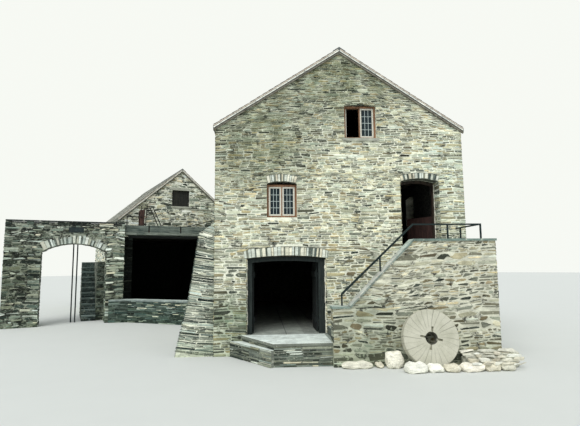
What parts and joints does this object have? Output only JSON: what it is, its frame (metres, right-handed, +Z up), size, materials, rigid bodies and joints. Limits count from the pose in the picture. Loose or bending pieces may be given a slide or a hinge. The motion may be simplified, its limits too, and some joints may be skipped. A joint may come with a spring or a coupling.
{
  "type": "stone watermill building",
  "caption": "three-storey rubble watermill with an outside stair, double doors, and a gabled wing fed by a launder and a sluice on an arched aqueduct",
  "frame": {"origin": "on the ground under the middle of the whole group's bounding box", "axes": "+Z up; the mill's door front looks along -Y; +X to the right seen from the front, with the aqueduct and the wing at the left"},
  "size_m": [15.4626, 19.8034, 8.105],
  "materials": {
    "rubble_stone": "coursed rubble with pale lime joints",
    "dressed_stone": "split slate slabs and voussoirs, pale grey",
    "granite": "pale granite, weathered",
    "slate": "dark grey slate",
    "stone_floor": "worn flagstones on fill",
    "weathered_wood": "grey weathered boards",
    "brown_wood": "orange-brown stained timber",
    "floor_wood": "old floor boards",
    "white_paint": "white painted casement bars",
    "green_wood": "dark green-grey boards",
    "iron": "dark painted wrought iron",
    "glass": "old window glass"
  },
  "bodies": {
    "mill": {"aqueduct_arch": "dressed_stone", "aqueduct_coping": "slate", "aqueduct_wall": "rubble_stone", "attic_floor": "floor_wood", "back_wall": "rubble_stone", "buttress": "rubble_stone", "casements": "white_paint", "control_rod": "weathered_wood", "door_frame": "weathered_wood", "door_hinge_pins": "iron", "doorway_arch": "dressed_stone", "first_floor": "floor_wood", "footing_stones": "granite", "front_gable": "rubble_stone", "front_wall_left": "rubble_stone", "front_wall_middle": "rubble_stone", "front_wall_over_door": "rubble_stone", "front_wall_right": "rubble_stone", "ground_floor": "stone_floor", "hoist_frames": "iron", "launder": "weathered_wood", "launder_spout": "weathered_wood", "launder_straps": "iron", "left_wall": "rubble_stone", "millstone": "granite", "pit_coping": "dressed_stone", "pit_wall": "rubble_stone", "platform": "dressed_stone", "platform_step": "dressed_stone", "rear_step_posts": "iron", "rear_step_wall": "rubble_stone", "rear_steps": "dressed_stone", "ridge_tiles": "slate", "right_wall": "rubble_stone", "roof_left": "slate", "roof_right": "slate", "sills_and_lintel": "dressed_stone", "sluice_frame": "brown_wood", "stair_coping": "dressed_stone", "stair_flight": "dressed_stone", "stair_handrail": "iron", "stair_parapet": "rubble_stone", "upper_door_arch": "dressed_stone", "upper_door_frame": "brown_wood", "upper_door_leaf": "brown_wood", "verges": "dressed_stone", "window_arches": "dressed_stone", "window_frames": "brown_wood", "window_glass": "glass", "wing_back_wall": "rubble_stone", "wing_beam": "weathered_wood", "wing_front_wall": "rubble_stone", "wing_loft_floor": "floor_wood", "wing_roof_left": "slate", "wing_roof_right": "slate", "wing_shutter": "green_wood", "wing_side_walls": "rubble_stone"},
    "left_leaf": {"front_door_left": "weathered_wood"},
    "right_leaf": {"front_door_right": "weathered_wood"},
    "gate": {"sluice_gate": "weathered_wood"}
  },
  "joints": [
    {"name": "left_door_hinge", "type": "hinge", "parent": "mill", "child": "left_leaf", "pos_m": [1.82027, -7.40547, 1.3], "axis": [0, 0, 1], "range_deg": [-90, 12]},
    {"name": "right_door_hinge", "type": "hinge", "parent": "mill", "child": "right_leaf", "pos_m": [3.55627, -7.40547, 1.3], "axis": [0, 0, 1], "range_deg": [-12, 90]},
    {"name": "sluice_lift", "type": "slide", "parent": "mill", "child": "gate", "axis": [0, 0, 1], "range_m": [-0.145, 0.09]}
  ]
}
